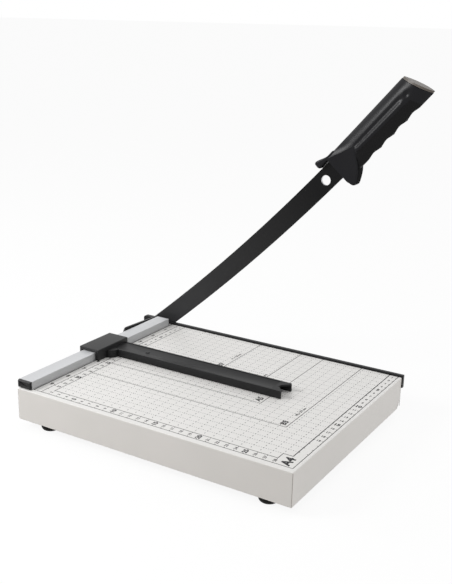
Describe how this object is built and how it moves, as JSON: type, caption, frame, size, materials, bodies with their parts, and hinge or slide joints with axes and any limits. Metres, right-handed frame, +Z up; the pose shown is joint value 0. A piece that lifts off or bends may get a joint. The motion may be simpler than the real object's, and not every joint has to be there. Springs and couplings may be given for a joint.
{
  "type": "lever paper trimmer",
  "caption": "Desk paper trimmer with a sheet steel table, a lever blade on a corner pivot, a fixed knife along one edge, and a sliding paper gauge on a side rail.",
  "frame": {"origin": "on the desk, under the middle of the table", "axes": "+X along the cut from the pivot to the handle, +Y across the table towards the cut, +Z up"},
  "size_m": [0.3546, 0.2685, 0.3597],
  "materials": {
    "ivory_steel": "fine satin powder coat",
    "black_steel": "satin black lacquer",
    "rail_aluminium": "brushed, clear anodised",
    "black_plastic": "moulded, fine grain",
    "grip_plastic": "moulded, soft matte",
    "rubber": "matte",
    "zinc_steel": "zinc plated",
    "bronze": "sintered bronze"
  },
  "bodies": {
    "base": {"base_housing": "ivory_steel", "rubber_feet": "rubber", "foot_screws": "zinc_steel", "foot_nuts": "zinc_steel", "fixed_blade": "black_steel", "knife_backing_bar": "zinc_steel", "knife_screws": "zinc_steel", "guide_rail": "rail_aluminium", "rail_front_plug": "black_plastic", "rail_rear_plug": "black_plastic", "rail_screws": "zinc_steel", "pivot_bracket": "black_steel", "bracket_screws": "zinc_steel", "bracket_nuts": "zinc_steel", "pivot_bolt": "zinc_steel", "thrust_washer": "zinc_steel", "head_washer": "zinc_steel", "disc_springs": "zinc_steel", "lock_nut": "zinc_steel"},
    "arm": {"moving_blade": "black_steel", "pivot_bush": "bronze", "handle_body": "black_plastic", "finger_grip": "grip_plastic", "handle_end_cap": "black_plastic", "handle_pins": "zinc_steel"},
    "gauge": {"slider_block": "black_plastic", "friction_pad": "rubber", "gauge_arm": "black_plastic", "gauge_screw": "zinc_steel"}
  },
  "joints": [
    {"name": "arm_pivot", "type": "hinge", "parent": "base", "child": "arm", "pos_m": [-0.1717, 0.1318, 0.0285], "axis": [0, 1, 0], "range_deg": [-20, 41.5]},
    {"name": "gauge_slide", "type": "slide", "parent": "base", "child": "gauge", "axis": [0, 1, 0], "range_m": [-0.096, 0.0235]}
  ]
}
